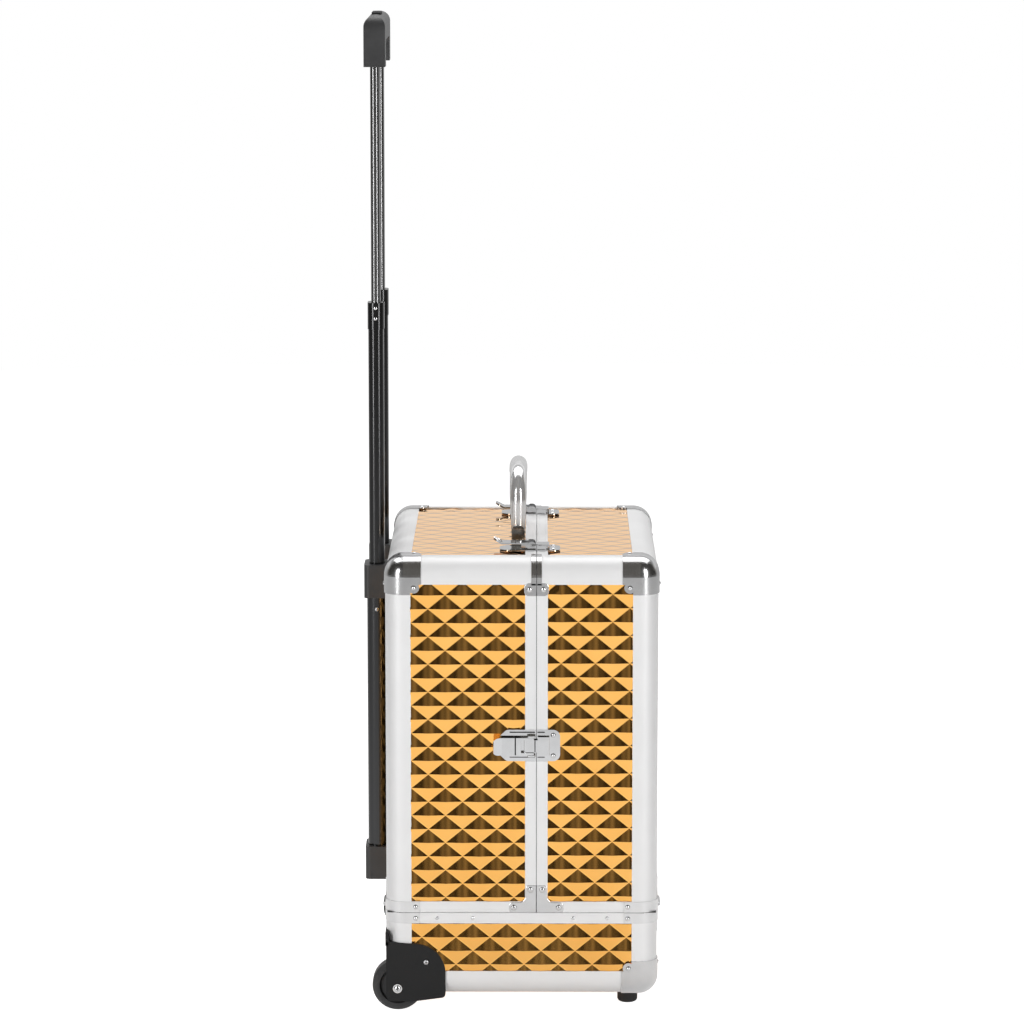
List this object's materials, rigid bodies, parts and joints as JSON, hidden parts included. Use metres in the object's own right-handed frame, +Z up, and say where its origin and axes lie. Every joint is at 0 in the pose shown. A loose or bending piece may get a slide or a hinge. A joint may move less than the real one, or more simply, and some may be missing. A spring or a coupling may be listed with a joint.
{
  "type": "makeup train case",
  "caption": "Upright aluminium-framed trolley make-up case with hinged half shells, level trays, telescopic handle, carry handle, latches and wheels.",
  "frame": {"origin": "on the floor under the middle of the part's box", "axes": "+Z up, -X the trolley's rear with wheels and telescopic handle, +X its front, Y along the case's depth"},
  "size_m": [0.2926, 0.3676, 0.9685],
  "materials": {
    "gold_film": "embossed metallic film over board",
    "aluminium": "satin anodised",
    "chrome": "bright chrome plate",
    "steel": "zinc plated",
    "black_plastic": "fine moulded grain",
    "black_metal": "gloss black coated tube",
    "rubber": "matt",
    "tray_black": "matt moulded"
  },
  "bodies": {
    "base": {"base_ball_corners": "chrome", "base_corner_brackets": "chrome", "base_end_panels": "gold_film", "base_floor_panel": "gold_film", "base_hinge_leaves": "chrome", "base_pivot_pins": "steel", "base_rivets": "chrome", "base_round_rails": "aluminium", "base_side_panels": "gold_film", "base_top_rails": "aluminium", "rubber_feet": "rubber", "wheel_housings": "black_plastic", "wheel_axles": "steel"},
    "rear_shell": {"rear_round_rails": "aluminium", "rear_flat_rails": "aluminium", "rear_side_panel": "gold_film", "rear_top_panel": "gold_film", "rear_end_panels": "gold_film", "rear_ball_corners": "chrome", "rear_corner_brackets": "chrome", "rear_hinge_leaves": "chrome", "rear_rivets": "chrome", "rear_tray_pivots": "steel", "latch_base_plates": "chrome", "carry_handle_mounts": "chrome", "telescope_outer_tubes": "black_metal", "telescope_brackets": "black_plastic"},
    "front_shell": {"front_round_rails": "aluminium", "front_flat_rails": "aluminium", "front_side_panel": "gold_film", "front_top_panel": "gold_film", "front_end_panels": "gold_film", "front_ball_corners": "chrome", "front_corner_brackets": "chrome", "front_hinge_leaves": "chrome", "front_rivets": "chrome", "front_tray_pivots": "steel", "latch_catch_plates": "chrome"},
    "telescope_middle": {"telescope_mid_tubes": "black_metal"},
    "telescope_top": {"telescope_inner_tubes": "black_metal", "telescope_grip": "black_plastic"},
    "grip_button": {"grip_button": "black_plastic"},
    "carry_handle": {"carry_handle": "chrome"},
    "wheel_near": {"wheel_near": "rubber"},
    "wheel_far": {"wheel_far": "rubber"},
    "rear_lower_tray": {"rear_lower_tray": "tray_black"},
    "rear_upper_tray": {"rear_upper_tray": "tray_black"},
    "rear_tray_arms": {"rear_tray_arms": "steel"},
    "front_lower_tray": {"front_lower_tray": "tray_black"},
    "front_upper_tray": {"front_upper_tray": "tray_black"},
    "front_tray_arms": {"front_tray_arms": "steel"},
    "top_latch_lever_near": {"top_latch_lever_near": "chrome"},
    "top_latch_hook_near": {"top_latch_hook_near": "chrome"},
    "top_latch_lever_far": {"top_latch_lever_far": "chrome"},
    "top_latch_hook_far": {"top_latch_hook_far": "chrome"},
    "end_latch_lever_near": {"end_latch_lever_near": "chrome"},
    "end_latch_hook_near": {"end_latch_hook_near": "chrome"},
    "end_latch_lever_far": {"end_latch_lever_far": "chrome"},
    "end_latch_hook_far": {"end_latch_hook_far": "chrome"}
  },
  "joints": [
    {"name": "rear_shell_hinge", "type": "hinge", "parent": "base", "child": "rear_shell", "pos_m": [-0.12505, 0, 0.101], "axis": [0, -1, 0], "range_deg": [0, 60]},
    {"name": "rear_lower_tray_pivot", "type": "hinge", "parent": "rear_shell", "child": "rear_lower_tray", "pos_m": [-0.08335, 0, 0.211], "axis": [0, -1, 0], "range_deg": [-60, 0]},
    {"name": "rear_upper_tray_pivot", "type": "hinge", "parent": "rear_shell", "child": "rear_upper_tray", "pos_m": [-0.08335, 0, 0.321], "axis": [0, -1, 0], "range_deg": [-60, 0]},
    {"name": "rear_arm_pivot", "type": "hinge", "parent": "base", "child": "rear_tray_arms", "pos_m": [-0.06505, 0, 0.095], "axis": [0, -1, 0], "range_deg": [0, 60]},
    {"name": "front_shell_hinge", "type": "hinge", "parent": "base", "child": "front_shell", "pos_m": [0.14435, 0, 0.101], "axis": [0, 1, 0], "range_deg": [0, 60]},
    {"name": "front_lower_tray_pivot", "type": "hinge", "parent": "front_shell", "child": "front_lower_tray", "pos_m": [0.10265, 0, 0.211], "axis": [0, 1, 0], "range_deg": [-60, 0]},
    {"name": "front_upper_tray_pivot", "type": "hinge", "parent": "front_shell", "child": "front_upper_tray", "pos_m": [0.10265, 0, 0.321], "axis": [0, 1, 0], "range_deg": [-60, 0]},
    {"name": "front_arm_pivot", "type": "hinge", "parent": "base", "child": "front_tray_arms", "pos_m": [0.08435, 0, 0.095], "axis": [0, 1, 0], "range_deg": [0, 60]},
    {"name": "top_latch_lever_near_pivot", "type": "hinge", "parent": "rear_shell", "child": "top_latch_lever_near", "pos_m": [0.01895, -0.112, 0.4562], "axis": [0, 1, 0], "range_deg": [0, 100]},
    {"name": "top_latch_hook_near_pivot", "type": "hinge", "parent": "top_latch_lever_near", "child": "top_latch_hook_near", "pos_m": [0.01295, -0.112, 0.456], "axis": [0, 1, 0], "range_deg": [-120, 0]},
    {"name": "top_latch_lever_far_pivot", "type": "hinge", "parent": "rear_shell", "child": "top_latch_lever_far", "pos_m": [0.01895, 0.112, 0.4562], "axis": [0, 1, 0], "range_deg": [0, 100]},
    {"name": "top_latch_hook_far_pivot", "type": "hinge", "parent": "top_latch_lever_far", "child": "top_latch_hook_far", "pos_m": [0.01295, 0.112, 0.456], "axis": [0, 1, 0], "range_deg": [-120, 0]},
    {"name": "end_latch_lever_near_pivot", "type": "hinge", "parent": "rear_shell", "child": "end_latch_lever_near", "pos_m": [0.01895, -0.1772, 0.268], "axis": [0, 0, 1], "range_deg": [0, 100]},
    {"name": "end_latch_hook_near_pivot", "type": "hinge", "parent": "end_latch_lever_near", "child": "end_latch_hook_near", "pos_m": [0.01295, -0.177, 0.268], "axis": [0, 0, 1], "range_deg": [-120, 0]},
    {"name": "end_latch_lever_far_pivot", "type": "hinge", "parent": "rear_shell", "child": "end_latch_lever_far", "pos_m": [0.01895, 0.1772, 0.268], "axis": [0, 0, -1], "range_deg": [0, 100]},
    {"name": "end_latch_hook_far_pivot", "type": "hinge", "parent": "end_latch_lever_far", "child": "end_latch_hook_far", "pos_m": [0.01295, 0.177, 0.268], "axis": [0, 0, -1], "range_deg": [-120, 0]},
    {"name": "telescope_middle_slide", "type": "slide", "parent": "rear_shell", "child": "telescope_middle", "axis": [0, 0, 1], "range_m": [-0.232, 0]},
    {"name": "telescope_top_slide", "type": "slide", "parent": "telescope_middle", "child": "telescope_top", "axis": [0, 0, 1], "range_m": [-0.229, 0]},
    {"name": "grip_button_press", "type": "slide", "parent": "telescope_top", "child": "grip_button", "axis": [0, 0, -1], "range_m": [0, 0.003], "stiffness_N_per_m": 800},
    {"name": "carry_handle_fold", "type": "hinge", "parent": "rear_shell", "child": "carry_handle", "pos_m": [0.00565, 0, 0.4605], "axis": [0, -1, 0], "range_deg": [-88, 88]},
    {"name": "wheel_near_spin", "type": "hinge", "parent": "base", "child": "wheel_near", "pos_m": [-0.11185, -0.153, 0.025], "axis": [0, 1, 0], "continuous": true},
    {"name": "wheel_far_spin", "type": "hinge", "parent": "base", "child": "wheel_far", "pos_m": [-0.11185, 0.153, 0.025], "axis": [0, 1, 0], "continuous": true}
  ],
  "couplings": [
    {"joint": "rear_lower_tray_pivot", "follows": "rear_shell_hinge", "ratio": -1},
    {"joint": "rear_upper_tray_pivot", "follows": "rear_shell_hinge", "ratio": -1},
    {"joint": "rear_arm_pivot", "follows": "rear_shell_hinge", "ratio": 1},
    {"joint": "front_lower_tray_pivot", "follows": "front_shell_hinge", "ratio": -1},
    {"joint": "front_upper_tray_pivot", "follows": "front_shell_hinge", "ratio": -1},
    {"joint": "front_arm_pivot", "follows": "front_shell_hinge", "ratio": 1},
    {"joint": "top_latch_hook_near_pivot", "follows": "top_latch_lever_near_pivot", "ratio": -1.15},
    {"joint": "top_latch_hook_far_pivot", "follows": "top_latch_lever_far_pivot", "ratio": -1.15},
    {"joint": "end_latch_hook_near_pivot", "follows": "end_latch_lever_near_pivot", "ratio": -1.15},
    {"joint": "end_latch_hook_far_pivot", "follows": "end_latch_lever_far_pivot", "ratio": -1.15}
  ]
}
